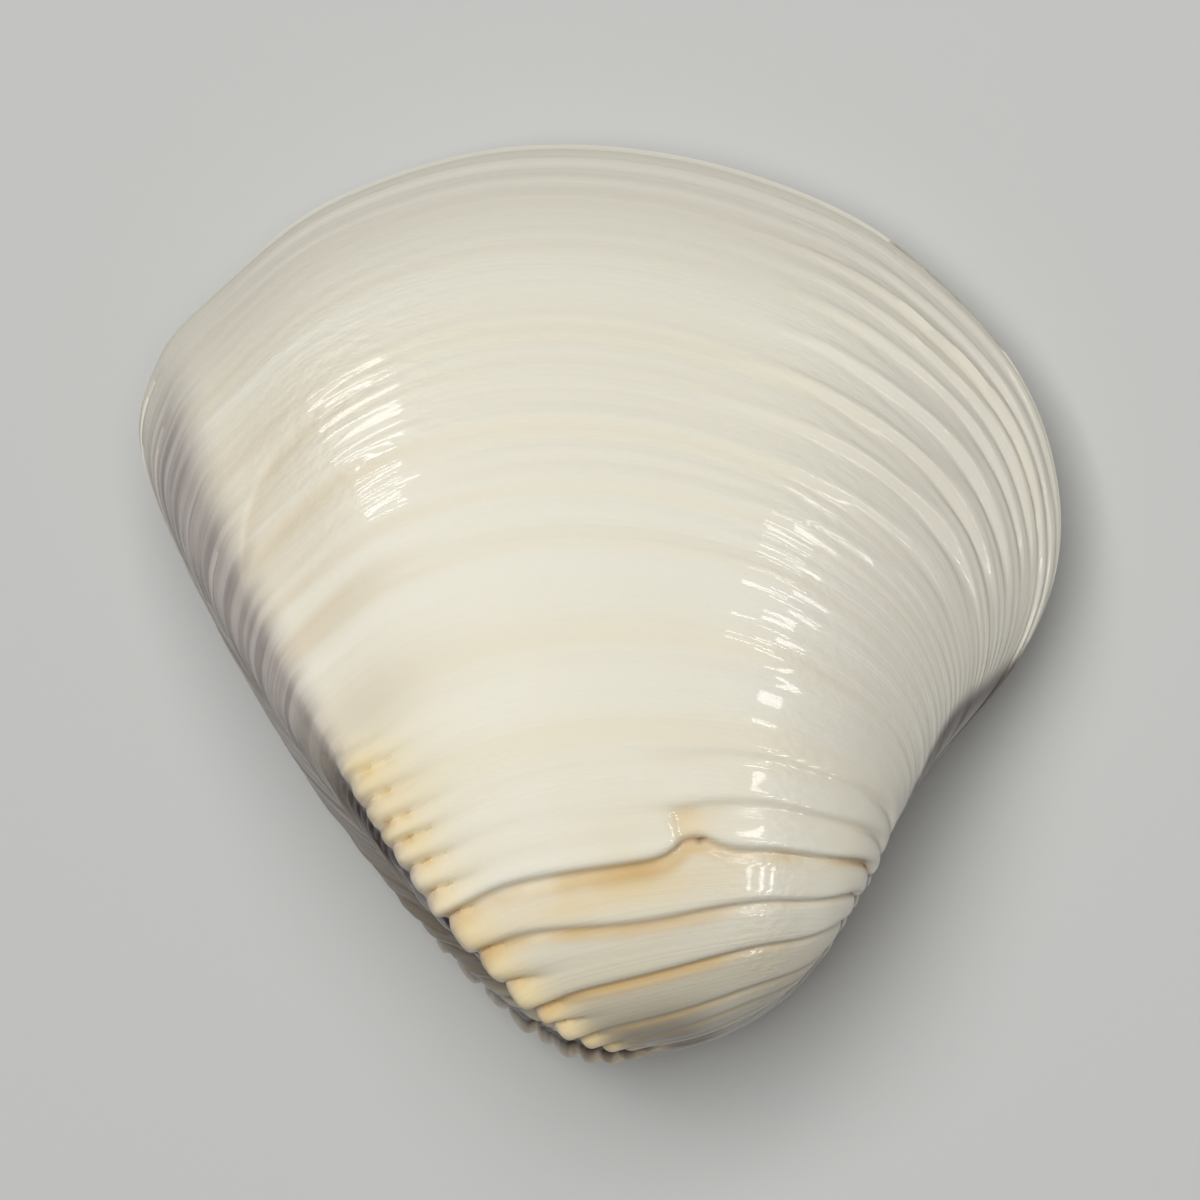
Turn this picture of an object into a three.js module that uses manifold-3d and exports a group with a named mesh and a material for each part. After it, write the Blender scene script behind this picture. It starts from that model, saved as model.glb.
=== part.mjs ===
// A closed shell of Anomalocardia brasiliana, lying on its right valve. Millimetres, +Z up.
import * as THREE from 'three';
import { mergeVertices } from 'three/addons/utils/BufferGeometryUtils.js';
import Module from 'manifold-3d';

const wasm = await Module();
wasm.setup();

// The valve frame: x towards the front end, y from the beak towards the lower margin, z out of the
// left valve. The margin of one valve in that frame, from the beak round the front end, the lower
// margin and the pointed rear end and back to the beak.
const MARGIN = [
  [0.1, 0],
  [4.2, 2.1],
  [8.0, 5.0],
  [12.1, 8.2],
  [14.1, 11.6],
  [14.4, 15.8],
  [13.1, 19.6],
  [10.0, 23.7],
  [4.8, 27.1],
  [-1.1, 28.8],
  [-7.0, 28.4],
  [-11.4, 26.4],
  [-14.0, 24.5],
  [-15.2, 21.3],
  [-13.8, 15.1],
  [-10.2, 8.7],
  [-5.6, 3.4],
  [-0.1, 0],
];

// Places along that margin, from 0 to 1. The columns are closer together at the keel.
const KEEL = 0.7;
const FRONT_COLUMNS = 21;
const KEEL_COLUMNS = 8;
const REAR_COLUMNS = 8;
const KEEL_FROM = 0.61;
const KEEL_TO = 0.78;

// Growth. The stage is the size of an earlier margin against the present one, which is 1.
const FIRST_STAGE = 0.05;
const COILING = 0.63;
const UNCOILING = 0.214;
const HEIGHT_POWER = 1.157;
const REARWARD_LEAN = 0.56;
const INFLATION = 0.86;

// Relief of the outside. Furrows run along the old margins, and their cord counts from the beak say
// where. A furrow: its count at the knobs, its count in the middle, its depth in front and behind.
const FURROWS = [
  [1.6, 1.6, 0, 0],
  [2.2, 2.1, 0.1, 0.12],
  [2.8, 2.7, 0.12, 0.12],
  [3.4, 3.3, 0.14, 0.14],
  [4.0, 3.95, 0.18, 0.16],
  [4.6, 4.6, 0.22, 0.2],
  [5.3, 5.2, 0, 0],
  [5.8, 5.8, 0.3, 0.28],
  [6.6, 6.4, 0, 0.02],
  [7.4, 6.92, 0.34, 0.26],
  [8.3, 8.06, 0.45, 0.4],
  [8.85, 8.55, 0, 0.03],
  [9.4, 9.02, 0.2, 0.03],
  [9.9, 9.95, 0.11, 0.03],
  [10.3, 10.4, 0, 0],
  [10.8, 10.8, 0, 0],
  [11.3, 11.3, 0, 0],
  [11.8, 11.8, 0, 0],
];
const CORDS_YOUNG = 17.4;
const CORDS_LATER = 5.64;
const CORD_START = 0.2;
const FRONT_CURL = 45;
const CURL_LIMIT = 13;
const FURROW_SHARE = 0.8;
const LEDGE_SHARE = 0.5;
const LEDGE_PLACE = 0.3;
const KNOB_TOP_PLACE = 0.5;
const KNOB_PLACE = 0.686;
const KNOB_RISE = 0.32;
const KNOB_DEPTH = 0.5;
const CREVICE_DEPTH = 0.25;
const KEEL_RISE = 0.1;

// Thin ridges round the front end, closer together at the margin.
const FIRST_RIDGE = 13;
const FIRST_RAISED_RIDGE = 15.5;
const LAST_RIDGE = 24;
const RIDGE_HEIGHT = 0.2;
const RIDGE_SLANT = 4.5;
const CROWDING_START = 20.2;
const CROWDING = 1.8;

// The pair.
const VALVE_GAP = 0.2;
const WALL_SHARE = 0.1;
const WALL_CENTRE = new THREE.Vector3(-0.5, 15.5, 0);
const WALL_SHIFT = 0.4;
const INSIDE_ROWS = 8;
const INSIDE_COLUMNS = 17;
const INSIDE_END = 0.15;
const HINGE_DEPTH = 3.2;
const LIGAMENT_LENGTH = 5.4;
const LIGAMENT_WIDTH = 1.5;
const LIGAMENT_HEIGHT = 1.2;
const LIGAMENT_CENTRE = new THREE.Vector3(-4.6, 2.9, 0);
const LIGAMENT_SLOPE = 33;
const LIGAMENT_GAP = 0.25;

// How the pair lies, and the flat spot it lies on.
const TIP_TO_MARGIN = 12;
const TIP_TO_FRONT = 12;
const FLAT_DEPTH = 0.12;

// Side of a cube larger than the shell, for cutting.
const BEYOND = 60;

const margin = new THREE.SplineCurve(MARGIN.map(([x, y]) => new THREE.Vector2(x, y)));

function fade(value, from, to) {
  const share = THREE.MathUtils.clamp((value - from) / (to - from), 0, 1);
  return share * share * (3 - 2 * share);
}

function bell(value, centre, halfWidth) {
  return Math.exp(-(((value - centre) / halfWidth) ** 2));
}

// The smooth surface: every earlier margin is smaller, flatter and turned about the hinge axis.
function growthPoint(stage, place) {
  const age = -Math.log(stage);
  const turn = age / COILING - UNCOILING * age * age;
  const edge = margin.getPoint(place);
  const reach = stage ** HEIGHT_POWER * edge.y;
  return new THREE.Vector3(
    stage * edge.x - REARWARD_LEAN * (1 - stage) * reach,
    reach * Math.cos(turn),
    INFLATION * reach * Math.sin(turn),
  );
}

function outward(stage, place) {
  const step = 0.002;
  const here = Math.min(stage, 1 - step);
  const along = growthPoint(here, place + step).sub(growthPoint(here, place - step));
  const back = growthPoint(here - step, place).sub(growthPoint(here + step, place));
  return along.cross(back).normalize();
}

// The count of cords from the beak grows with the stage.
function stageOfCount(count) {
  const cords = count + CORD_START;
  const root = Math.sqrt(CORDS_YOUNG ** 2 + 4 * CORDS_LATER * cords);
  return (root - CORDS_YOUNG) / (2 * CORDS_LATER);
}

function furrowCount([knobCount, middleCount], place) {
  const room = 0.6 * (CURL_LIMIT - middleCount);
  const curl = FRONT_CURL * Math.max(0, 0.39 - place) ** 2;
  const bend = (knobCount - middleCount) * fade(place, 0.48, 0.66);
  return middleCount + bend + room * (1 - Math.exp(-curl / room));
}

function furrowDepth([, , frontDepth, rearDepth], place) {
  const shown = fade(place, 0.1, 0.2) * fade(place, KEEL + 0.06, KEEL + 0.01);
  return shown * THREE.MathUtils.lerp(rearDepth, frontDepth, fade(place, 0.5, 0.44));
}

// Height of the knobs, the keel and the crevice behind it. A knob is 1 on its top and 0 at its foot.
function keelHeight(stage, place, knob) {
  const young = fade(stage, 0.615, 0.55);
  const knobs = young * bell(place, KNOB_PLACE, place < KNOB_PLACE ? 0.055 : 0.02);
  const keel = fade(stage, 0.95, 0.6) * bell(place, KEEL, 0.02);
  const crevice = fade(place, 0.698, 0.722) * fade(place, 0.8, 0.765) * fade(stage, 0.66, 0.54);
  const height = knobs * (KNOB_RISE - KNOB_DEPTH * (1 - knob));
  return fade(stage, FIRST_STAGE, 0.3) * (height + KEEL_RISE * keel - CREVICE_DEPTH * crevice);
}

// A row of points: the stage and the height over the smooth surface at every place.
function furrowRow(furrow) {
  return (place) => {
    const stage = stageOfCount(furrowCount(furrow, place));
    const height = -FURROW_SHARE * furrowDepth(furrow, place) + keelHeight(stage, place, 0);
    return { stage, height };
  };
}

function ledgeRow(furrow, next) {
  return (place) => {
    const counts = [furrowCount(furrow, place), furrowCount(next, place)];
    const share = THREE.MathUtils.lerp(LEDGE_PLACE, KNOB_TOP_PLACE, fade(place, 0.5, 0.66));
    const stage = stageOfCount(THREE.MathUtils.lerp(...counts, share));
    const height = LEDGE_SHARE * furrowDepth(furrow, place) + keelHeight(stage, place, 1);
    return { stage, height };
  };
}

// Rows of the thin ridges, one on each crest and one in each trough between them.
function ridgeRow(phase) {
  const raised = phase % 1 === 0.5 ? RIDGE_HEIGHT : 0;
  return (place) => {
    const slant = RIDGE_SLANT * (THREE.MathUtils.clamp(place, 0.22, 0.43) - 0.33);
    const straight = phase - slant;
    const crowded = CROWDING_START + (straight - CROWDING_START) / CROWDING;
    const stage = stageOfCount(Math.min(straight, crowded));
    const reach = fade(place, 0.46, 0.37) * fade(place, 0.1, 0.2) * fade(stage, 0.66, 0.84);
    return { stage, height: raised * reach + keelHeight(stage, place, 1) };
  };
}

function outsideRows() {
  const rows = [() => ({ stage: 1, height: 0 })];
  for (let phase = LAST_RIDGE; phase >= FIRST_RIDGE; phase -= phase > FIRST_RAISED_RIDGE ? 0.5 : 1) {
    rows.push(ridgeRow(phase));
  }
  for (let index = FURROWS.length - 1; index > 0; index -= 1) {
    rows.push(furrowRow(FURROWS[index]));
    rows.push(ledgeRow(FURROWS[index - 1], FURROWS[index]));
  }
  rows.push(furrowRow(FURROWS[0]));
  rows.push(() => ({ stage: FIRST_STAGE, height: 0 }));
  return rows;
}

// A closed body between its side, its flat face at z = 0 and its blunt beak end. Every row of the
// side runs between the same two points of the hinge axis.
function valveBody(rows, places) {
  const inner = places.slice(1, -1);
  const points = [MARGIN[0], MARGIN.at(-1)].map(([x, y]) => new THREE.Vector3(x, y, 0));
  for (const row of rows) {
    for (const place of inner) {
      const { stage, height } = row(place);
      const point = growthPoint(stage, place);
      if (height !== 0) point.addScaledVector(outward(stage, place), height);
      if (stage === 1) point.z = 0;
      points.push(point);
    }
  }
  const at = (row, column) => 2 + row * inner.length + column;
  const last = inner.length - 1;
  const faces = [];
  for (let row = 0; row < rows.length - 1; row += 1) {
    faces.push(0, at(row, 0), at(row + 1, 0));
    for (let column = 0; column < last; column += 1) {
      faces.push(at(row, column), at(row, column + 1), at(row + 1, column + 1));
      faces.push(at(row, column), at(row + 1, column + 1), at(row + 1, column));
    }
    faces.push(at(row, last), 1, at(row + 1, last));
  }
  for (const row of [0, rows.length - 1]) {
    const ring = [0, ...inner.map((_, column) => at(row, column)), 1];
    const outline = ring.map((index) => {
      const point = points[index];
      return new THREE.Vector2(point.x, Math.hypot(point.y, point.z));
    });
    for (const [a, b, c] of THREE.ShapeUtils.triangulateShape(outline, [])) {
      if (row === 0) faces.push(ring[a], ring[c], ring[b]);
      else faces.push(ring[a], ring[b], ring[c]);
    }
  }
  return solidOf(points.flatMap((point) => point.toArray()), faces);
}

function solidOf(positions, faces) {
  return new wasm.Manifold(new wasm.Mesh({
    numProp: 3,
    vertProperties: new Float32Array(positions),
    triVerts: new Uint32Array(faces),
  }));
}

// A solid from one of the ready-made geometries, moved to its place.
function placedSolid(geometry, matrix) {
  const bare = geometry.clone().applyMatrix4(matrix);
  bare.deleteAttribute('normal');
  bare.deleteAttribute('uv');
  const merged = mergeVertices(bare);
  return solidOf(merged.attributes.position.array, merged.index.array);
}

function meshOf(name, solid, material) {
  const { vertProperties, triVerts } = solid.getMesh();
  const geometry = new THREE.BufferGeometry();
  geometry.setAttribute('position', new THREE.BufferAttribute(vertProperties, 3));
  geometry.setIndex(new THREE.BufferAttribute(triVerts, 1));
  geometry.computeVertexNormals();
  const mesh = new THREE.Mesh(geometry, material);
  mesh.name = name;
  return mesh;
}

function evenSteps(count, from, to) {
  return Array.from({ length: count + 1 }, (_, step) => from + (to - from) * (step / count));
}

function outsidePlaces() {
  return [
    ...evenSteps(FRONT_COLUMNS, 0, KEEL_FROM).slice(0, -1),
    ...evenSteps(KEEL_COLUMNS, KEEL_FROM, KEEL_TO).slice(0, -1),
    ...evenSteps(REAR_COLUMNS, KEEL_TO, 1),
  ];
}

// The ligament: a long rounded strip in the valley behind the beaks.
function ligamentSolid(grown) {
  const half = new THREE.Vector3(LIGAMENT_LENGTH, LIGAMENT_HEIGHT, LIGAMENT_WIDTH).multiplyScalar(0.5);
  const turn = new THREE.Quaternion().setFromAxisAngle(
    new THREE.Vector3(0, 0, 1),
    -THREE.MathUtils.degToRad(LIGAMENT_SLOPE),
  );
  const matrix = new THREE.Matrix4().compose(LIGAMENT_CENTRE, turn, half.addScalar(grown));
  return placedSolid(new THREE.SphereGeometry(1, 12, 8), matrix);
}

// The left valve: the raised body less its hollow, which leaves a wall and a solid hinge.
function leftValveSolid() {
  const body = valveBody(outsideRows(), outsidePlaces());
  const plainRows = evenSteps(INSIDE_ROWS, 1, INSIDE_END).map((stage) => () => ({ stage, height: 0 }));
  const plain = valveBody(plainRows, evenSteps(INSIDE_COLUMNS, 0, 1));
  const shrink = new THREE.Matrix4()
    .makeTranslation(WALL_CENTRE.x, WALL_CENTRE.y, WALL_CENTRE.z - WALL_SHIFT)
    .scale(new THREE.Vector3().setScalar(1 - WALL_SHARE))
    .multiply(new THREE.Matrix4().makeTranslation(WALL_CENTRE.clone().negate()));
  const hingeSide = placedSolid(
    new THREE.BoxGeometry(BEYOND, BEYOND, BEYOND),
    new THREE.Matrix4().makeTranslation(0, HINGE_DEPTH - BEYOND / 2, 0),
  );
  const hollow = plain.transform(shrink.elements).subtract(hingeSide);
  return body.subtract(hollow).translate(0, 0, VALVE_GAP / 2);
}

const pose = new THREE.Group();
pose.rotation.set(
  -THREE.MathUtils.degToRad(TIP_TO_MARGIN),
  THREE.MathUtils.degToRad(TIP_TO_FRONT),
  0,
);

// The flat spot: a slab is cut off the lowest part of the right valve.
function flattened(valve) {
  const upright = pose.quaternion.clone().invert();
  const down = new THREE.Vector3(0, 0, -1).applyQuaternion(upright);
  const { vertProperties } = valve.getMesh();
  let lowest = 0;
  for (let start = 0; start < vertProperties.length; start += 3) {
    lowest = Math.max(lowest, down.dot(new THREE.Vector3().fromArray(vertProperties, start)));
  }
  const slab = new THREE.BoxGeometry(BEYOND, BEYOND, BEYOND);
  const centre = down.clone().multiplyScalar(lowest - FLAT_DEPTH + BEYOND / 2);
  const matrix = new THREE.Matrix4().compose(centre, upright, new THREE.Vector3(1, 1, 1));
  return valve.subtract(placedSolid(slab, matrix));
}

const porcelain = new THREE.MeshStandardMaterial({ color: '#e1dccd', roughness: 0.25 });
const horn = new THREE.MeshStandardMaterial({ color: '#4a2f1c', roughness: 0.5 });

const pocket = ligamentSolid(LIGAMENT_GAP);
const leftValve = leftValveSolid();
const rightValve = leftValve.mirror([0, 0, 1]);
pose.add(meshOf('left_valve', leftValve.subtract(pocket), porcelain));
pose.add(meshOf('right_valve', flattened(rightValve.subtract(pocket)), porcelain.clone()));
pose.add(meshOf('ligament', ligamentSolid(0), horn));

// The origin is under the middle of the pair, on the surface that it lies on.
const group = new THREE.Group();
group.add(pose);
const bounds = new THREE.Box3().setFromObject(group, true);
const middle = bounds.getCenter(new THREE.Vector3());
pose.position.set(-middle.x, -middle.y, -bounds.min.z);

export default group;
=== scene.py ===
"""A closed shell of Anomalocardia brasiliana, lying on its right valve. Metres in the scene.

The valves are worked out in the valve frame, in millimetres: x towards the front end, y from the
beak towards the lower margin, z out of the left valve. The stage of a point is the size that the
valve had when it grew that point, 1 at the margin. Its place is how far round the margin it lies.
"""
import math

import bpy
import numpy as np
from mathutils import Matrix, Vector


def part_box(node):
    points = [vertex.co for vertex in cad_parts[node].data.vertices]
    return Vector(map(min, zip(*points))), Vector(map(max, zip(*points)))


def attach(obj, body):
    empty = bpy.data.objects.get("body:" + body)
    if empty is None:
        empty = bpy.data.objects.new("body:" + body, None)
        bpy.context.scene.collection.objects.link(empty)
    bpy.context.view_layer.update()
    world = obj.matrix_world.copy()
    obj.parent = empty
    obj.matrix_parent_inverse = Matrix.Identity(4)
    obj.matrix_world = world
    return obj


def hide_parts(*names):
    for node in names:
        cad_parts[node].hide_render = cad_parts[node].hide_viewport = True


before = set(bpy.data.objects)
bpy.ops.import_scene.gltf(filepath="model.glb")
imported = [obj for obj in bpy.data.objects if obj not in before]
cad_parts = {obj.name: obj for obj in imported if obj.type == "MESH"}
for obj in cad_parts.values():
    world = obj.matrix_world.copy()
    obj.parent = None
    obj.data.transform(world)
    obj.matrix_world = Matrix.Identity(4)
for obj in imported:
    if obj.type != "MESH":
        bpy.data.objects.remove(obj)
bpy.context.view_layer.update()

MM = 0.001

# The margin of one valve, from the beak round the front end, the lower margin and the rear end.
MARGIN = np.array([
    (0.1, 0), (4.2, 2.1), (8.0, 5.0), (12.1, 8.2), (14.1, 11.6), (14.4, 15.8),
    (13.1, 19.6), (10.0, 23.7), (4.8, 27.1), (-1.1, 28.8), (-7.0, 28.4), (-11.4, 26.4),
    (-14.0, 24.5), (-15.2, 21.3), (-13.8, 15.1), (-10.2, 8.7), (-5.6, 3.4), (-0.1, 0),
])
SPANS = len(MARGIN) - 1
KEEL = 11.9 / SPANS
REAR_CORNER = 14 / SPANS
DORSAL_REAR = 15 / SPANS

# Growth, as in the solids.
FIRST_STAGE = 0.05
COILING = 0.63
UNCOILING = 0.214
HEIGHT_POWER = 1.157
REARWARD_LEAN = 0.56
INFLATION = 0.86
CORDS_YOUNG = 17.4
CORDS_LATER = 5.64
CORD_START = 0.2

# Relief over the smooth surface, in millimetres. INSET lowers all of it a little. Most pairs are
# windows in place, stage or cord count: where a feature starts to show, and where it shows in full.
# WIDTHS are a bell's half widths before and after its middle. A LINE is a wandering line: its seed,
# its lowest and highest frequency, and its number of sines.
PAST_HINGE = (0.1, 0.2)
FULL_RELIEF = (FIRST_STAGE, 0.3)
INSET = 0.05

# Furrows run along the old margins, and cord counts from the beak say where. A furrow: its count at
# the knobs, its count in the middle, its depth in front and behind.
FURROWS = (
    (1.6, 1.60, 0.00, 0.00),
    (2.2, 2.10, 0.10, 0.12),
    (2.8, 2.70, 0.12, 0.12),
    (3.4, 3.30, 0.14, 0.14),
    (4.0, 3.95, 0.18, 0.16),
    (4.6, 4.60, 0.22, 0.20),
    (5.3, 5.20, 0.00, 0.00),
    (5.8, 5.80, 0.30, 0.28),
    (6.6, 6.40, 0.00, 0.02),
    (7.4, 6.92, 0.34, 0.26),
    (8.3, 8.06, 0.45, 0.40),
    (8.85, 8.55, 0.00, 0.03),
    (9.4, 9.02, 0.20, 0.03),
    (9.9, 9.95, 0.11, 0.03),
    (10.3, 10.40, 0.00, 0.00),
    (10.8, 10.80, 0.00, 0.00),
    (11.3, 11.30, 0.00, 0.00),
    (11.8, 11.80, 0.00, 0.00),
)
DEEPEST = 0.45
FRONT_SIDE = (0.50, 0.44)
KNOB_BEND = (0.48, 0.66)
FRONT_CURL = 45
CURL_START = 0.39
CURL_LIMIT = 13
CURL_SHARE = 0.6
LEDGE_SOFTNESS = 0.07
LEDGE_HEIGHT = 0.7
LEDGE_REACH = 0.5
LEAD_DEPTH = 0.2
LEAD_REACH = 0.25
VALLEY_DEPTH = 0.6
VALLEY_WIDTH = 0.11
STAIN_WIDTHS = (0.3, 0.1)
CORDS_STAGE = (0.60, 0.53)
CORDS_REAR_END = (KEEL + 0.06, KEEL + 0.01)
WANDER = 0.06
WANDER_STAGE = (0.9, 0.5)
WANDER_LINE = (3, 1, 6, 9)

# Notches where the deeper furrows reach the front end.
FRONT_NOTCH = 0.15
FRONT_NOTCH_PLACE = 0.235
FRONT_NOTCH_WIDTH = 0.05
FRONT_NOTCH_LENGTH = 0.25
NOTCHING_DEPTH = 0.1

# The scar that breaks one furrow: the furrow rises there, with a cut beside it and a small pit.
SCARRED_FURROW = 10
SCAR_PLACE = 0.456
SCAR_WIDTH = 0.018
SCAR_RISE = 0.3
SCAR_DEPTH = 0.16
SCAR_START = (8.1, 8.3)
SCAR_END = (9.1, 8.85)
CUT_PLACE = 0.008
CUT_WIDTHS = (0.016, 0.006)
PIT_DEPTH = 0.12
PIT_PLACE = SCAR_PLACE - 0.004
PIT_COUNT = 8.40
PIT_SIZE = (0.003, 0.06)

# Knobs at the rear ends of the cords, the dark crevice behind them, and the beads behind that.
ROW_SQUARENESS = 0.6
KNOB_PLACE = 0.686
KNOB_WIDTHS = (0.055, 0.02)
KNOB_STAGE = (0.615, 0.55)
KNOB_SLANT = 0.2
KNOB_SLANT_PLACE = (0.70, 0.60)
KNOB_RISE = 0.32
KNOB_DEPTH = 0.5
CREVICE_DEPTH = 0.25
CREVICE_FRONT = (0.698, 0.722)
CREVICE_REAR = (0.80, 0.765)
CREVICE_STAGE = (0.66, 0.54)
BEAD_PLACE = 0.797
BEAD_WIDTH = 0.022
BEAD_STAGE = (0.60, 0.52)
BEAD_NOTCHES = (1.7, 2.5, 3.3, 3.8, 4.4, 5.0, 5.7, 6.4, 7.0, 7.8, 8.6, 9.1, 9.8, 10.7, 11.6, 12.3)
BEAD_RISE = 0.08
BEAD_DEPTH = 0.22

# Thin ridges round the front end, crowded near the rim, and flat cords nearer the hinge.
FRONT_CORD_HEIGHT = 0.2
FRONT_SLANT = 4.5
SLANT_SPAN = (0.22, 0.43)
SLANT_CENTRE = 0.33
CROWDING_START = 20.2
CROWDING = 0.8
RIDGE_SKEW = 0.85
RIDGE_SHARPNESS = 1.8
FLAT_CORDS = (0.35, 0.29)
CORD_FLATNESS = 3
RIDGE_PLACE = (0.46, 0.37)
RIDGE_STAGE = (0.66, 0.84)
RIDGE_RIM = (1, 0.965)
RIDGE_VARIETY = 0.3
RIDGE_LINE = (21, 0.15, 0.45, 9)
BESIDE_LUNULE = (0.03, 0.1)
RIM_LINES = 0.4
RIM_LINES_STAGE = (0.93, 0.98)
RIM_LINES_PLACE = (0.66, 0.6)

# Low forms: the keel, folds that bend back along it, growth checks, rear threads, soft waves and
# the rim, which drops a little.
KEEL_RISE = 0.1
KEEL_WIDTH = 0.02
KEEL_STAGE = (0.95, 0.6)
FOLDS = ((17.45, 180), (15.95, 40), (14.1, 20))
FOLD_BEND_START = 0.6
FOLD_WIDTHS = (0.45, 0.12)
FOLD_FRONT = (0.55, 0.63)
FOLD_REAR = (0.71, 0.68)
FOLD_DEPTH = 0.045
GROWTH_CHECKS = (16.1, 14.9, 13.7, 11.9)
CHECK_HEIGHT = 0.05
CHECK_WIDTH = 0.22
CHECK_FRONT = (0.3, 0.42)
CHECK_REAR = (0.66, 0.58)
THREAD_HEIGHT = 0.03
THREAD_LINE = (31, 2.5, 5.5, 12)
THREADS_FRONT = (KEEL - 0.01, KEEL + 0.02)
THREADS_REAR = (DORSAL_REAR + 0.03, REAR_CORNER)
UNEVENNESS = 0.017
WAVE_LINE = (11, 0.5, 3.0, 14)
WAVE_BEND = 0.3
WAVE_BEND_LINE = (8, 1, 3, 9)
UNEVEN_STAGE = (0.5, 0.6)
UNEVEN_AT_RIM = 0.4
UNEVEN_BEFORE_RIM = (0.92, 0.85)
UNEVEN_RIM = (1, 0.97)
LIP_DROP = 0.12
LIP_START = 0.988

# The dark heart-shaped field in front of the beak: its edge, and a bulge of that edge.
LUNULE_EDGE = 0.188
LUNULE_BULGE = 0.035
LUNULE_BULGE_STAGE = 0.71
LUNULE_BULGE_LENGTH = 0.13
LUNULE_SOFTNESS = 0.02

# Where the colours show. A SPOT is the middle and the half width of a bell.
GROOVE_IN_FRONT = 0.55
GROOVE_PLACE = (0.42, 0.47)
CUT_STAIN = 1.4
WASH_COUNT_SPOT = (7.7, 0.4)
WASH_SPOT = (0.54, 0.15)
FLANK_SPOT = (0.65, 0.07)
FLANK_STAGE = (0.5, 0.6)
# The grey over the front flank and near the rim is partly the shell's own tone and partly painted
# shade, where the sides turn from the light.
PEARL_AND_SHADE_PLACE = (0.44, 0.32)
PEARL_AND_SHADE_STAGE = (0.4, 0.6)
PEARL_AND_SHADE_RIM = (0.84, 0.97)
KNOB_TINT = 1.2
NOTCH_SPOT = (KNOB_PLACE - 0.01, 0.035)
NOTCH_STAGE = (0.56, 0.48)
BEAD_SPOT = (BEAD_PLACE + 0.006, 0.03)
BEAD_TINT_BETWEEN = 0.4
BEAD_TINT_LATER = 0.35
BEAD_TINT_STAGE = (0.44, 0.34)
REAR_PLACE = (KEEL - 0.035, KEEL + 0.02)
REAR_STAGE = (0.99, 0.9)
# The young rear slope is mauve, painted darker than its own colour as shade where it faces down and
# away from the light.
MAUVE_AND_SHADE_PLACE = (0.72, 0.80)
MAUVE_AND_SHADE_STAGE = (0.80, 0.5)
# Taupe over the beak is partly the shell's own tone; at the low tip it is painted shade where the
# surface turns down from the light.
BEAK_STAGE = (0.42, 0.16)
BEAK_TIP_SHADE_STAGE = (0.31, 0.2)
BEAK_TIP_SHADE_PLACE = (0.44, 0.54)

# How strongly wrinkles break the highlights: all over, and more where the left and right strokes lie.
WRINKLED = 0.5
LEFT_STROKES = 3.5
LEFT_STROKES_SPOT = (0.6, 0.05)
LEFT_STROKES_STAGE_SPOT = (0.8, 0.1)
RIGHT_STROKES = 1.5
RIGHT_STROKES_SPOT = (0.4, 0.04)

# The pair.
VALVE_GAP = 0.2
WALL_SHARE = 0.1
WALL_CENTRE = np.array([-0.5, 15.5, 0.0])
WALL_SHIFT = 0.4
LIGAMENT_CENTRE = Vector((-4.6, 2.9, 0))
LIGAMENT_HALF = (2.7, 0.6, 0.75)
LIGAMENT_SLOPE = math.radians(33)
LIGAMENT_WRINKLE = 0.03
TIP_TO_MARGIN = math.radians(12)
TIP_TO_FRONT = math.radians(12)

# Mesh fineness.
ROWS = 300
COLUMNS = 300
INNER_ROWS = 20
INNER_LAST_STAGE = 0.34
KEEL_DENSITY = 2.5
KEEL_DENSITY_WIDTH = 0.06
DENSITY_STEPS = 2001
LIGAMENT_RINGS = 48
LIGAMENT_SIDES = 32
SHARP_EDGE = math.radians(75)

# Camera: turns of the view in the valve frame, and the point it looks at, in millimetres.
VIEW_ROLL = math.radians(13.5)
VIEW_TILT = math.radians(-7.0)
VIEW_TURN = math.radians(0.3)
VIEW_AIM = Vector((-1.41, 13.1, 0))
VIEW_DISTANCE = 240
HALF_FRAME = 20
SENSOR = 36

# Light and floor, in metres: one large soft box, a faint even glow, the floor's sheet, and rows of
# small lamps for the highlights.
KEY_DIRECTION = (0.08, 0.24, 0.93)
KEY_DISTANCE = 0.95
KEY_SIZE = (0.5, 0.5)
KEY_POWER = 10.0
GLOW_COLOUR = (0.95, 0.97, 1, 1)
GLOW_STRENGTH = 0.03
FLOOR_SIZE = 3
FLOOR_DROP = 0.00002
# A row: its direction from the shell, the way it runs, its bars, the size and power of a bar.
GLEAMS = (
    ((-0.20, 0.94, 0.27), (0.97, 0.15, 0.21), 1, (0.22, 0.035), 0.25),
    ((-0.16, 0.90, 0.41), (0.97, 0.21, -0.13), 1, (0.13, 0.03), 0.15),
    ((-0.12, 0.85, 0.53), (0.97, 0.21, -0.13), 1, (0.11, 0.02), 0.10),
    ((0.88, 0.38, 0.29), (0.47, -0.67, -0.57), 1, (0.12, 0.012), 0.06),
    ((0.87, 0.32, 0.39), (0.50, -0.56, -0.66), 1, (0.12, 0.02), 0.09),
    ((0.89, 0.20, 0.42), (0.41, -0.74, -0.53), 1, (0.09, 0.03), 0.11),
    ((0.88, 0.04, 0.47), (0.41, -0.55, -0.73), 1, (0.08, 0.025), 0.08),
    ((0.85, -0.12, 0.50), (0.31, -0.68, -0.67), 1, (0.07, 0.02), 0.06),
    ((0.83, -0.30, 0.47), (0.28, -0.50, -0.82), 3, (0.018, 0.04), 0.04),
    ((0.80, -0.42, 0.44), (0.16, -0.55, -0.82), 3, (0.018, 0.05), 0.042),
    ((0.70, -0.61, 0.36), (0.20, -0.32, -0.93), 2, (0.018, 0.03), 0.03),
)
GLEAM_DISTANCE = 0.6
GLEAM_SPACING = 0.08


def fade(value, start, end):
    share = np.clip((value - start) / (end - start), 0, 1)
    return share * share * (3 - 2 * share)


def bell(value, centre, half_width):
    return np.exp(-(((value - centre) / half_width) ** 2))


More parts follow.
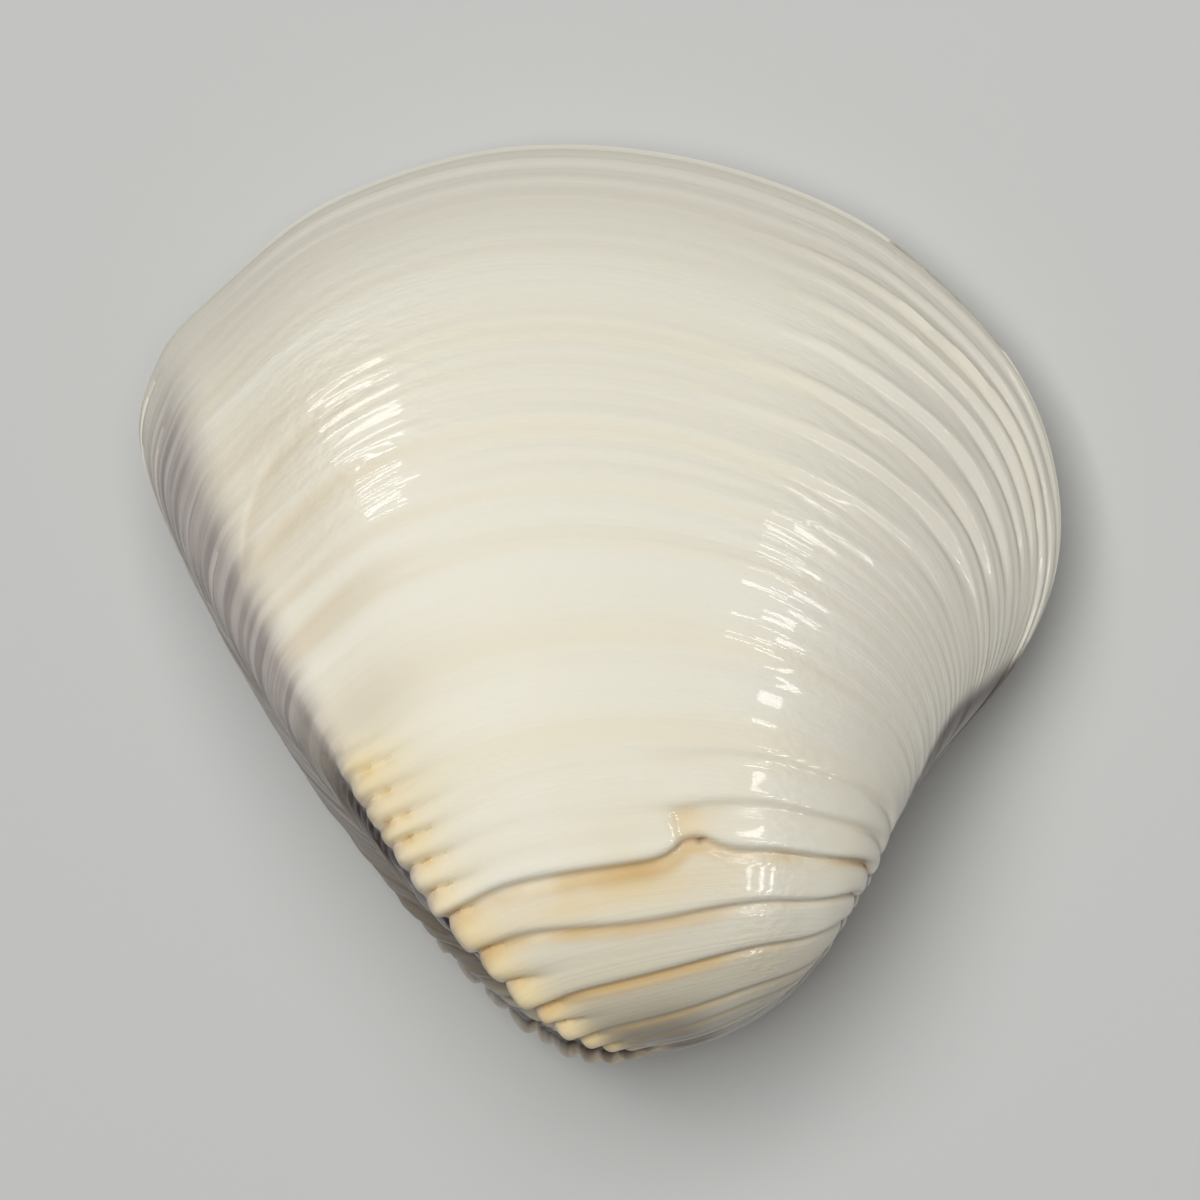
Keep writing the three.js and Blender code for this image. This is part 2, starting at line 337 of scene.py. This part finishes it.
def lopsided_bell(offset, width_before, width_after):
    """A bell round 0 with another width on each side."""
    return bell(offset, 0, np.where(offset < 0, width_before, width_after))


def from_floor(floor, share):
    """A share from 0 to 1, raised so that it runs from the floor to 1."""
    return floor + (1 - floor) * share


def ripple(value, seed, lowest, highest, count):
    """A smooth wandering line round 0, made of seeded sines between two frequencies."""
    rng = np.random.default_rng(seed)
    total = np.zeros_like(value)
    for _ in range(count):
        frequency = rng.uniform(lowest, highest)
        total += np.sin(2 * math.pi * (frequency * value + rng.random()))
    return total / math.sqrt(count)


def margin_point(place):
    """The margin's spline at a place from 0 to 1: a smooth curve through its points."""
    along = np.clip(place, 0, 1) * SPANS
    span = np.minimum(along.astype(int), SPANS - 1)
    t = (along - span)[..., None]
    before = MARGIN[np.maximum(span - 1, 0)]
    start = MARGIN[span]
    end = MARGIN[span + 1]
    after = MARGIN[np.minimum(span + 2, SPANS)]
    slope_in = (end - before) / 2
    slope_out = (after - start) / 2
    bend = 2 * (start - end) + slope_in + slope_out
    lift = 3 * (end - start) - 2 * slope_in - slope_out
    return ((bend * t + lift) * t + slope_in) * t + start


def growth_point(stage, place):
    """The smooth surface: every earlier margin is smaller, flatter and turned about the hinge."""
    age = -np.log(stage)
    turn = age / COILING - UNCOILING * age * age
    edge = margin_point(place)
    reach = stage ** HEIGHT_POWER * edge[..., 1]
    return np.stack([
        stage * edge[..., 0] - REARWARD_LEAN * (1 - stage) * reach,
        reach * np.cos(turn),
        INFLATION * reach * np.sin(turn),
    ], axis=-1)


def outward(stage, place):
    step = 0.001
    here = np.minimum(stage, 1 - step)
    along = growth_point(here, place + step) - growth_point(here, place - step)
    back = growth_point(here - step, place) - growth_point(here + step, place)
    normal = np.cross(along, back)
    return normal / (np.linalg.norm(normal, axis=-1, keepdims=True) + 1e-12)


def cord_count(stage):
    return CORDS_YOUNG * stage + CORDS_LATER * stage * stage


def furrow_line(knob_count, middle_count, place):
    """Count along one furrow: it bends at the knobs, and curls up round the front end."""
    room = CURL_SHARE * (CURL_LIMIT - middle_count)
    curl = FRONT_CURL * np.maximum(0, CURL_START - place) ** 2
    bend = (knob_count - middle_count) * fade(place, *KNOB_BEND)
    return middle_count + bend + room * (1 - np.exp(-curl / room))


def cords(count, place):
    """Height in millimetres of the broad cords near the beak, and 0 to 1 how deep in a furrow."""
    front = fade(place, *FRONT_SIDE)
    height = np.zeros_like(count)
    groove = np.zeros_like(count)
    for index, (knob_count, middle_count, front_depth, rear_depth) in enumerate(FURROWS):
        line = furrow_line(knob_count, middle_count, place)
        if index == SCARRED_FURROW:
            line = line + SCAR_RISE * bell(place, SCAR_PLACE, SCAR_WIDTH)
        offset = count - line
        depth = rear_depth + (front_depth - rear_depth) * front
        later = 1 / (1 + np.exp(-offset / LEDGE_SOFTNESS))
        ledge = LEDGE_HEIGHT * np.exp(-np.maximum(offset, 0) / LEDGE_REACH)
        lead = LEAD_DEPTH * np.exp(np.minimum(offset, 0) / LEAD_REACH)
        valley = VALLEY_DEPTH * bell(offset, 0, VALLEY_WIDTH)
        height += depth * (later * ledge - (1 - later) * lead - valley)
        notched = min(1, front_depth / NOTCHING_DEPTH)
        notched = notched * bell(place, FRONT_NOTCH_PLACE, FRONT_NOTCH_WIDTH)
        height -= FRONT_NOTCH * notched * bell(offset, 0, FRONT_NOTCH_LENGTH)
        groove += depth / DEEPEST * lopsided_bell(offset, *STAIN_WIDTHS)
    return height, groove


def rounded_row(count, notches):
    """0 at the notches of a row of knobs and 1 on the knobs between them."""
    phase = np.interp(count, notches, np.arange(len(notches)))
    return np.abs(np.sin(math.pi * phase)) ** ROW_SQUARENESS


def scar(count, place):
    """0 to 1 how deep in the cut beside the scar, and how deep in its pit."""
    near = fade(count, *SCAR_START) * fade(count, *SCAR_END)
    cut = lopsided_bell(place - SCAR_PLACE - CUT_PLACE, *CUT_WIDTHS) * near
    pit_width, pit_length = PIT_SIZE
    return cut, bell(place, PIT_PLACE, pit_width) * bell(count, PIT_COUNT, pit_length)


def lunule_edge(stage):
    """Place of the edge of the dark heart-shaped field in front of the beak."""
    return LUNULE_EDGE + LUNULE_BULGE * bell(stage, LUNULE_BULGE_STAGE, LUNULE_BULGE_LENGTH)


def front_crests(count, place, stage):
    """Height from 0 to 1 of the thin ridges round the front end, which widen to flat cords there."""
    slant = FRONT_SLANT * (np.clip(place, *SLANT_SPAN) - SLANT_CENTRE)
    crowded = CROWDING * np.maximum(0, count - CROWDING_START)
    phase = count + slant + crowded
    turn = 2 * math.pi * phase
    even = 0.5 - 0.5 * np.cos(turn)
    steep = 0.5 - 0.5 * np.cos(turn - RIDGE_SKEW * np.cos(turn))
    flat = fade(place, *FLAT_CORDS)
    crest = (1 - flat) * steep ** RIDGE_SHARPNESS + flat * (1 - (1 - even) ** CORD_FLATNESS)
    near, past = BESIDE_LUNULE
    edge = lunule_edge(stage)
    reach = fade(place, *RIDGE_PLACE) * fade(stage, *RIDGE_STAGE)
    reach = reach * fade(place, edge + near, edge + past) * fade(stage, *RIDGE_RIM)
    rim = RIM_LINES * fade(stage, *RIM_LINES_STAGE) * fade(place, *RIM_LINES_PLACE)
    return crest * np.maximum(reach, rim) * (1 + RIDGE_VARIETY * ripple(phase, *RIDGE_LINE))


def rear_folds(count, place):
    """Depth from 0 to 1 of the old creases that bend back along the keel."""
    depth = np.zeros_like(count)
    for middle, bend in FOLDS:
        offset = count - middle + bend * np.maximum(0, place - FOLD_BEND_START) ** 2
        fold = lopsided_bell(offset, *FOLD_WIDTHS) * fade(place, *FOLD_FRONT)
        depth = np.maximum(depth, fold * fade(place, *FOLD_REAR))
    return depth


def relief(stage, place):
    """Height over the smooth surface, and the masks that the colours follow."""
    count = cord_count(stage) - CORD_START
    wander = count + WANDER * ripple(place, *WANDER_LINE) * fade(stage, *WANDER_STAGE)
    past_hinge = fade(place, *PAST_HINGE)
    shown = past_hinge * fade(place, *CORDS_REAR_END)
    young = fade(stage, *CORDS_STAGE)
    cord_height, groove = cords(wander, place)
    groove = groove * shown * young
    cut, pit = scar(count, place)

    slanted = wander + KNOB_SLANT * fade(place, *KNOB_SLANT_PLACE)
    knobs = rounded_row(slanted, [furrow[0] for furrow in FURROWS])
    knob_zone = lopsided_bell(place - KNOB_PLACE, *KNOB_WIDTHS) * fade(stage, *KNOB_STAGE)
    beads = rounded_row(wander, BEAD_NOTCHES)
    bead_zone = bell(place, BEAD_PLACE, BEAD_WIDTH) * fade(stage, *BEAD_STAGE)
    crevice = fade(place, *CREVICE_FRONT) * fade(place, *CREVICE_REAR) * fade(stage, *CREVICE_STAGE)
    folds = rear_folds(count, place)

    height = cord_height * young * shown - SCAR_DEPTH * cut - PIT_DEPTH * pit
    height += knob_zone * (KNOB_RISE - KNOB_DEPTH * (1 - knobs))
    height += bead_zone * (BEAD_RISE - BEAD_DEPTH * (1 - beads)) - CREVICE_DEPTH * crevice
    height += KEEL_RISE * bell(place, KEEL, KEEL_WIDTH) * fade(stage, *KEEL_STAGE)
    height -= FOLD_DEPTH * folds
    full = fade(stage, *FULL_RELIEF)
    height *= full
    height += FRONT_CORD_HEIGHT * (front_crests(count, place, stage) * past_hinge) - INSET
    for check in GROWTH_CHECKS:
        line = CHECK_HEIGHT * bell(count, check, CHECK_WIDTH)
        height += line * fade(place, *CHECK_FRONT) * fade(place, *CHECK_REAR)
    uneven = from_floor(UNEVEN_AT_RIM, fade(stage, *UNEVEN_BEFORE_RIM))
    uneven = fade(stage, *UNEVEN_STAGE) * uneven
    waves = ripple(count + WAVE_BEND * ripple(place, *WAVE_BEND_LINE), *WAVE_LINE)
    height += UNEVENNESS * uneven * waves * fade(stage, *UNEVEN_RIM) * past_hinge
    rear = fade(place, *THREADS_FRONT) * fade(place, *THREADS_REAR)
    height += THREAD_HEIGHT * rear * ripple(count, *THREAD_LINE) * full
    height -= LIP_DROP * fade(stage, LIP_START, 1) ** 2

    wash = bell(wander, *WASH_COUNT_SPOT) * bell(place, *WASH_SPOT)
    front_flank = fade(place, *PEARL_AND_SHADE_PLACE) * fade(stage, *PEARL_AND_SHADE_STAGE)
    bead_tint = bell(place, *BEAD_SPOT) * from_floor(BEAD_TINT_BETWEEN, beads)
    # Painted shade at the low tip of the beak.
    beak_tip_shade = fade(stage, *BEAK_TIP_SHADE_STAGE) * fade(place, *BEAK_TIP_SHADE_PLACE)
    left = LEFT_STROKES * bell(place, *LEFT_STROKES_SPOT) * bell(stage, *LEFT_STROKES_STAGE_SPOT)
    right = RIGHT_STROKES * bell(place, *RIGHT_STROKES_SPOT)
    edge = lunule_edge(stage)
    masks = {
        "groove": np.clip(groove, 0, 1) * from_floor(GROOVE_IN_FRONT, fade(place, *GROOVE_PLACE)),
        "stain": np.clip(CUT_STAIN * cut + wash, 0, 1),
        "fold": folds,
        "flank": bell(place, *FLANK_SPOT) * fade(stage, *FLANK_STAGE),
        "outer": np.maximum(front_flank, fade(stage, *PEARL_AND_SHADE_RIM)),
        "pit": pit,
        "knob": np.clip(KNOB_TINT * knob_zone, 0, 1),
        "notch": bell(place, *NOTCH_SPOT) * (1 - knobs) * fade(stage, *NOTCH_STAGE),
        "crevice": crevice,
        "bead": bead_tint * from_floor(BEAD_TINT_LATER, fade(stage, *BEAD_TINT_STAGE)),
        "rear": fade(place, *REAR_PLACE) * fade(stage, *REAR_STAGE) * (1 - crevice),
        "rear_young": fade(place, *MAUVE_AND_SHADE_PLACE) * fade(stage, *MAUVE_AND_SHADE_STAGE),
        "lunule": fade(place, edge, edge - LUNULE_SOFTNESS),
        "beak": 0.5 * fade(stage, *BEAK_STAGE) + 0.5 * beak_tip_shade,
        "wrinkled": WRINKLED + left + right,
        "stage": stage,
        "place": place,
    }
    return height, masks


def column_places(count):
    """Places round the margin, closer together at the keel."""
    even = np.linspace(0, 1, DENSITY_STEPS)
    density = 1 + KEEL_DENSITY * bell(even, KEEL, KEEL_DENSITY_WIDTH)
    travelled = np.concatenate([[0], np.cumsum((density[1:] + density[:-1]) / 2)])
    return np.interp(np.linspace(0, travelled[-1], count + 1), travelled, even)[1:-1]


def valve_geometry():
    """Points, faces and masks of the left valve as one closed cup."""
    places = column_places(COLUMNS)
    stage, place = np.meshgrid(np.linspace(1, FIRST_STAGE, ROWS), places, indexing="ij")
    height, masks = relief(stage, place)
    outer = growth_point(stage, place) + outward(stage, place) * height[..., None]
    outer[0, :, 2] = 0
    outer[..., 2] = np.maximum(outer[..., 2], 0)
    inner_stages = np.linspace(1, INNER_LAST_STAGE, INNER_ROWS)
    inner = growth_point(*np.meshgrid(inner_stages, places, indexing="ij"))
    inner = WALL_CENTRE + (inner - WALL_CENTRE) * (1 - WALL_SHARE)
    inner[1:, :, 2] = np.maximum(inner[1:, :, 2] - WALL_SHIFT, 0)
    poles = np.array([(MARGIN[0, 0], 0, 0), (MARGIN[-1, 0], 0, 0)])
    inner_poles = WALL_CENTRE + (poles - WALL_CENTRE) * (1 - WALL_SHARE)
    ends = [outer[-1].mean(axis=0), inner[-1].mean(axis=0)]
    width = len(places)
    points = np.vstack([poles, outer.reshape(-1, 3), inner_poles, inner.reshape(-1, 3), ends])
    inner_start = 2 + ROWS * width
    outer_end = len(points) - 2
    inner_end = len(points) - 1

    def sheet(first, rows, closing, flip):
        """The side between two poles, and the fan that closes its last row."""
        pole_a, pole_b = first, first + 1
        ring = [[pole_a, *range(first + 2 + r * width, first + 2 + (r + 1) * width), pole_b]
                for r in range(rows)]
        made = []
        for lower, upper in zip(ring, ring[1:]):
            for c in range(width + 1):
                quad = [lower[c], lower[c + 1], upper[c + 1], upper[c]]
                made.append(list(dict.fromkeys(quad)))
        last = ring[-1]
        made += [[last[c], last[(c + 1) % len(last)], closing] for c in range(len(last))]
        if flip:
            made = [face[::-1] for face in made]
        return made, ring[0]

    outer_faces, outer_rim = sheet(0, ROWS, outer_end, False)
    inner_faces, inner_rim = sheet(inner_start, INNER_ROWS, inner_end, True)
    rim = []
    for c in range(len(outer_rim)):
        n = (c + 1) % len(outer_rim)
        rim.append([outer_rim[n], outer_rim[c], inner_rim[c], inner_rim[n]])
    spare = np.zeros(len(points) - inner_start)
    values = {}
    for name, field in masks.items():
        values[name] = np.concatenate([[0, 0], field.ravel(), spare])
    return points, outer_faces + inner_faces + rim, values


POSE = Matrix.Rotation(-TIP_TO_MARGIN, 3, "X") @ Matrix.Rotation(TIP_TO_FRONT, 3, "Y")
low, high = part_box("ligament")
HINGE = (low + high) / 2 - POSE @ LIGAMENT_CENTRE * MM


def to_frame(points):
    """Points of the valve frame, in millimetres, at their place in the part, in metres."""
    return np.asarray(points) @ np.array(POSE).T * MM + np.array(HINGE)


def add_object(name, points, faces, values=None):
    mesh = bpy.data.meshes.new(name)
    mesh.from_pydata([tuple(p) for p in points], [], faces)
    for key, field in (values or {}).items():
        attribute = mesh.attributes.new(key, "FLOAT", "POINT")
        attribute.data.foreach_set("value", np.asarray(field, np.float32))
    mesh.update()
    mesh.shade_smooth()
    mesh.set_sharp_from_angle(angle=SHARP_EDGE)
    piece = bpy.data.objects.new(name, mesh)
    bpy.context.scene.collection.objects.link(piece)
    return piece


def build_valves():
    points, faces, values = valve_geometry()
    left = points + np.array([0, 0, VALVE_GAP / 2])
    right = left * np.array([1, 1, -1])
    flipped = [face[::-1] for face in faces]
    rest = to_frame(right)
    rest[:, 2] = np.maximum(rest[:, 2], 0)
    return (
        add_object("left_valve_shell", to_frame(left), faces, values),
        add_object("right_valve_shell", rest, flipped, values),
    )


def build_ligament():
    """A rounded horny strip with long wrinkles, in its place behind the beaks."""
    rings, sides = LIGAMENT_RINGS, LIGAMENT_SIDES
    points = []
    for i in range(1, rings):
        polar = math.pi * i / rings
        for j in range(sides):
            angle = 2 * math.pi * j / sides
            wrinkle = 1 + LIGAMENT_WRINKLE * math.sin(5 * angle + 2 * math.cos(polar))
            points.append((
                LIGAMENT_HALF[0] * math.cos(polar),
                LIGAMENT_HALF[1] * math.sin(polar) * math.cos(angle) * wrinkle,
                LIGAMENT_HALF[2] * math.sin(polar) * math.sin(angle) * wrinkle,
            ))
    points += [(LIGAMENT_HALF[0], 0, 0), (-LIGAMENT_HALF[0], 0, 0)]
    front, rear = len(points) - 2, len(points) - 1
    faces = []
    for i in range(rings - 2):
        for j in range(sides):
            n = (j + 1) % sides
            faces.append((i * sides + j, (i + 1) * sides + j, (i + 1) * sides + n, i * sides + n))
    for j in range(sides):
        n = (j + 1) % sides
        faces.append((front, j, n))
        faces.append((rear, (rings - 2) * sides + n, (rings - 2) * sides + j))
    turn = np.array(Matrix.Rotation(-LIGAMENT_SLOPE, 3, "Z"))
    placed = np.array(points) @ turn.T + np.array(LIGAMENT_CENTRE)
    return add_object("ligament_strip", to_frame(placed), faces)


class Nodes:
    """Short calls for building one material's nodes."""

    def __init__(self, name):
        self.material = bpy.data.materials.new(name)
        self.material.use_nodes = True
        self.tree = self.material.node_tree
        self.shader = self.tree.nodes["Principled BSDF"]

    def link(self, source, socket):
        self.tree.links.new(source, socket)

    def add(self, kind, **settings):
        node = self.tree.nodes.new(kind)
        for key, value in settings.items():
            setattr(node, key, value)
        return node

    def value(self, name):
        return self.add("ShaderNodeAttribute", attribute_name=name).outputs["Fac"]

    def math(self, operation, a, b):
        node = self.add("ShaderNodeMath", operation=operation)
        for index, item in enumerate((a, b)):
            if isinstance(item, (int, float)):
                node.inputs[index].default_value = item
            else:
                self.link(item, node.inputs[index])
        return node.outputs[0]

    def ramp(self, value, start, end):
        node = self.add("ShaderNodeMapRange", interpolation_type="SMOOTHSTEP")
        self.link(value, node.inputs["Value"])
        node.inputs["From Min"].default_value = start
        node.inputs["From Max"].default_value = end
        return node.outputs["Result"]

    def noise(self, scale, detail, w=None):
        """Noise through the object's space, or along one value."""
        if w is None:
            node = self.add("ShaderNodeTexNoise")
            coordinates = self.add("ShaderNodeTexCoord")
            self.link(coordinates.outputs["Object"], node.inputs["Vector"])
        else:
            node = self.add("ShaderNodeTexNoise", noise_dimensions="1D")
            self.link(w, node.inputs["W"])
        node.inputs["Scale"].default_value = scale
        node.inputs["Detail"].default_value = detail
        return node.outputs["Fac"]

    def mix(self, factor, a, b):
        node = self.add("ShaderNodeMix", data_type="RGBA")
        self.link(factor, node.inputs["Factor"])
        for index, item in ((6, a), (7, b)):
            if isinstance(item, tuple):
                node.inputs[index].default_value = (*item, 1)
            else:
                self.link(item, node.inputs[index])
        return node.outputs[2]

    def masked(self, name, strength):
        """A mask from the mesh, times a number or another node's value."""
        return self.math("MULTIPLY", self.value(name), strength)

    def set_surface(self, settings):
        for name, value in settings.items():
            self.shader.inputs[name].default_value = value

    def add_bump(self, height, strength, depth):
        node = self.add("ShaderNodeBump")
        node.inputs["Strength"].default_value = strength
        node.inputs["Distance"].default_value = depth
        self.link(height, node.inputs["Height"])
        self.link(node.outputs["Normal"], self.shader.inputs["Normal"])


def linear(red, green, blue):
    """A colour given as it looks on a screen, 0 to 255, as the shader needs it."""
    shares = [channel / 255 for channel in (red, green, blue)]
    return tuple(s / 12.92 if s <= 0.04045 else ((s + 0.055) / 1.055) ** 2.4 for s in shares)


IVORY = linear(230, 226, 211)
CREAM = linear(228, 220, 196)
FLANK_CREAM = linear(218, 209, 188)
# Grey of the front flank and rim: partly own tone, partly painted shade.
PEARL_AND_SHADE = linear(206, 201, 188)
KNOB_CREAM = linear(230, 212, 168)
AMBER = linear(205, 174, 122)
WASH = linear(228, 204, 154)
PIT_BROWN = linear(96, 56, 28)
REAR_GREY = linear(138, 128, 127)
REAR_PALE = linear(178, 169, 164)
# Own mauve of the young rear slope, darkened with painted shade.
REAR_MAUVE_AND_SHADE = linear(74, 62, 60)
FOLD_TAN = linear(212, 198, 170)
# Painted shade for the crevice behind the knobs.
CREVICE_SHADE = linear(58, 44, 41)
BEAD_TAN = linear(186, 174, 146)
LUNULE_BROWN = linear(78, 66, 63)
LUNULE_TAN = linear(116, 98, 80)
# Taupe of the beak: own tone, and painted shade at its low tip.
BEAK_TAUPE_AND_SHADE = linear(104, 88, 64)
HORN_DARK = linear(58, 36, 22)
HORN_LIGHT = linear(98, 66, 40)
FLOOR_GREY = linear(192, 192, 190)

# Noise cells per metre for the mottle and the ligament's grain, and else from the beak to the margin
# or round it.
MOTTLE_SCALE = 220
GRAIN_SCALE = 900
BAND_SCALE = 26
STREAK_SCALE = 70
LINE_SCALE = 240
WRINKLES_ACROSS = 120
WRINKLES_AROUND = 90

SHELL_SURFACE = {
    "Roughness": 0.34,
    "Coat Weight": 0.5,
    "Coat Roughness": 0.05,
    "Subsurface Weight": 0.08,
    "Subsurface Radius": (1.0, 0.75, 0.5),
    "Subsurface Scale": 0.0008,
}

# Bump: strength, and depth in metres.
SHELL_BUMP = (0.3, 0.00006)
HORN_BUMP = (0.4, 0.0001)


def shell_colour(n):
    """Layers of colour, each over the last where its mask shows it."""
    stage = n.value("stage")
    mottle = n.noise(MOTTLE_SCALE, 3)
    bands = n.noise(BAND_SCALE, 5, stage)
    streaks = n.noise(STREAK_SCALE, 4, stage)
    young = n.ramp(stage, 0.62, 0.45)
    colour = n.mix(n.math("MULTIPLY", n.ramp(bands, 0.35, 0.75), 0.6), IVORY, CREAM)
    colour = n.mix(n.math("MULTIPLY", young, n.ramp(mottle, 0.3, 0.8)), colour, CREAM)
    # Taupe over the beak: partly own tone, partly painted shade at the low tip.
    colour = n.mix(n.masked("beak", n.ramp(mottle, 0, 0.55)), colour, BEAK_TAUPE_AND_SHADE)
    colour = n.mix(n.masked("knob", n.ramp(mottle, 0, 0.6)), colour, KNOB_CREAM)
    colour = n.mix(n.masked("flank", n.ramp(bands, 0.2, 0.7)), colour, FLANK_CREAM)
    # Painted shade, with some of the shell's own tone, on the front flank and near the rim.
    colour = n.mix(n.masked("outer", 0.7), colour, PEARL_AND_SHADE)
    colour = n.mix(n.masked("fold", 0.45), colour, FOLD_TAN)
    colour = n.mix(n.masked("stain", n.ramp(mottle, 0.1, 0.8)), colour, WASH)
    furrow = n.math("MULTIPLY", n.ramp(n.value("groove"), 0.06, 0.7), n.ramp(mottle, 0.15, 0.65))
    colour = n.mix(furrow, colour, AMBER)
    colour = n.mix(n.masked("notch", n.ramp(mottle, 0.2, 0.6)), colour, AMBER)
    colour = n.mix(n.value("pit"), colour, PIT_BROWN)
    rear_colour = n.mix(n.ramp(streaks, 0.35, 0.65), REAR_GREY, REAR_PALE)
    colour = n.mix(n.masked("rear", 0.9), colour, rear_colour)
    # Mauve on the young rear slope and the other valve's edge: own colour darkened with painted
    # shade.
    colour = n.mix(n.masked("rear_young", 0.85), colour, REAR_MAUVE_AND_SHADE)
    # Painted shade in the crevice between the knobs and the beads.
    colour = n.mix(n.value("crevice"), colour, CREVICE_SHADE)
    colour = n.mix(n.value("bead"), colour, BEAD_TAN)
    lunule_colour = n.mix(n.ramp(mottle, 0.4, 0.75), LUNULE_BROWN, LUNULE_TAN)
    return n.mix(n.value("lunule"), colour, lunule_colour)


def shell_relief(n):
    """Fine growth lines, and wrinkles that break the highlights into strokes."""
    stage = n.value("stage")
    lines = n.math("MULTIPLY", n.noise(LINE_SCALE, 4, stage), 0.6)
    along = n.add("ShaderNodeCombineXYZ")
    n.link(n.math("MULTIPLY", stage, WRINKLES_ACROSS), along.inputs["X"])
    n.link(n.masked("place", WRINKLES_AROUND), along.inputs["Y"])
    wrinkles = n.add("ShaderNodeTexNoise", noise_dimensions="2D")
    n.link(along.outputs["Vector"], wrinkles.inputs["Vector"])
    wrinkles.inputs["Scale"].default_value = 1
    wrinkles.inputs["Detail"].default_value = 3
    return n.math("ADD", lines, n.masked("wrinkled", wrinkles.outputs["Fac"]))


def shell_material():
    n = Nodes("shell_porcelain")
    n.link(shell_colour(n), n.shader.inputs["Base Color"])
    n.set_surface(SHELL_SURFACE)
    n.add_bump(shell_relief(n), *SHELL_BUMP)
    return n.material


def ligament_material():
    n = Nodes("ligament_horn")
    grain = n.noise(GRAIN_SCALE, 5)
    n.link(n.mix(n.ramp(grain, 0.3, 0.7), HORN_DARK, HORN_LIGHT), n.shader.inputs["Base Color"])
    n.set_surface({"Roughness": 0.5})
    n.add_bump(grain, *HORN_BUMP)
    return n.material


def add_camera():
    view = (Matrix.Rotation(VIEW_TURN, 3, "Y") @ Matrix.Rotation(VIEW_TILT, 3, "X")
            @ Matrix.Rotation(VIEW_ROLL, 3, "Z"))
    axes = POSE @ view.transposed()
    place = POSE @ VIEW_AIM * MM + HINGE + axes @ Vector((0, 0, VIEW_DISTANCE * MM))
    camera = bpy.data.objects.new("camera", bpy.data.cameras.new("camera"))
    camera.data.sensor_width = SENSOR
    camera.data.lens = SENSOR / 2 * VIEW_DISTANCE / HALF_FRAME
    camera.data.clip_start = 0.01
    camera.matrix_world = Matrix.Translation(place) @ axes.to_4x4()
    bpy.context.scene.collection.objects.link(camera)
    bpy.context.scene.camera = camera


def add_lamp(name, direction, distance, size, power, long_way):
    """A soft box in a direction from the shell, facing it, its long side along long_way."""
    lamp = bpy.data.lights.new(name, "AREA")
    lamp.shape = "RECTANGLE"
    lamp.size, lamp.size_y = size
    lamp.energy = power
    back = Vector(direction).normalized()
    side = Vector(long_way).cross(back).normalized()
    up = back.cross(side)
    turn = Matrix((side, up, back)).transposed()
    holder = bpy.data.objects.new(name, lamp)
    holder.matrix_world = Matrix.Translation(back * distance) @ turn.to_4x4()
    bpy.context.scene.collection.objects.link(holder)
    return holder


def add_gleams():
    """Rows of narrow lamps that only make highlights, set out across each row's direction."""
    for number, (direction, across, bars, size, power) in enumerate(GLEAMS):
        towards = Vector(direction).normalized()
        row = Vector(across).normalized()
        long_way = towards.cross(row)
        for bar in range(bars):
            shift = row * GLEAM_SPACING * (bar - (bars - 1) / 2)
            name = f"gleam_{number}_{bar}"
            lamp = add_lamp(name, towards + shift, GLEAM_DISTANCE, size, power, long_way)
            lamp.visible_diffuse = False


def add_key():
    """The large soft box overhead, which the shell's gloss doesn't mirror."""
    lamp = add_lamp("soft_overhead", KEY_DIRECTION, KEY_DISTANCE, KEY_SIZE, KEY_POWER, (0, 1, 0))
    lamp.visible_glossy = False


def add_stage():
    bpy.ops.mesh.primitive_plane_add(size=FLOOR_SIZE, location=(0, 0, -FLOOR_DROP))
    floor = bpy.context.object
    floor.name = "floor"
    n = Nodes("floor_paper")
    n.set_surface({"Base Color": (*FLOOR_GREY, 1), "Roughness": 0.9})
    floor.data.materials.append(n.material)
    world = bpy.data.worlds.new("studio")
    bpy.context.scene.world = world
    world.use_nodes = True
    glow = world.node_tree.nodes["Background"]
    glow.inputs["Color"].default_value = GLOW_COLOUR
    glow.inputs["Strength"].default_value = GLOW_STRENGTH


left_valve, right_valve = build_valves()
ligament = build_ligament()
porcelain = shell_material()
for valve in (left_valve, right_valve):
    valve.data.materials.append(porcelain)
    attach(valve, "root")
ligament.data.materials.append(ligament_material())
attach(ligament, "root")
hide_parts("left_valve")
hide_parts("right_valve")
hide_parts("ligament")

add_camera()
add_stage()
add_key()
add_gleams()
bpy.context.scene.view_settings.view_transform = "Standard"
